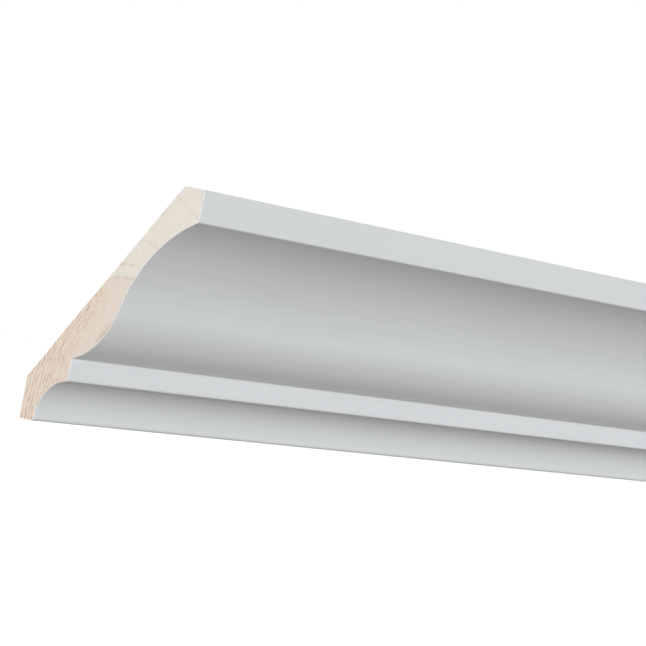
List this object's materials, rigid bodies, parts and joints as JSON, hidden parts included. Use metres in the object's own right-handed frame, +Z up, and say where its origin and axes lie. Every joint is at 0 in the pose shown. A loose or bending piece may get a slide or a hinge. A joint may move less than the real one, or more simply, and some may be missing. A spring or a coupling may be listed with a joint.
{
  "type": "crown moulding length",
  "caption": "Straight length of primed softwood crown moulding: an ogee between two plumb bands over a cove, cut square, with flat seats for wall and ceiling.",
  "frame": {"origin": "middle of the plumb seat that bears on the wall, half way along the length", "axes": "+X along the length, +Y into the wall, so that the moulded front looks along -Y, and +Z up to the ceiling"},
  "size_m": [0.4, 0.0658, 0.0852],
  "materials": {
    "primed_pine": "planed pine under a satin white primer, bare pine on the sawn ends and the back"
  },
  "bodies": {
    "root": {"crown_moulding": "primed_pine"}
  },
  "joints": []
}
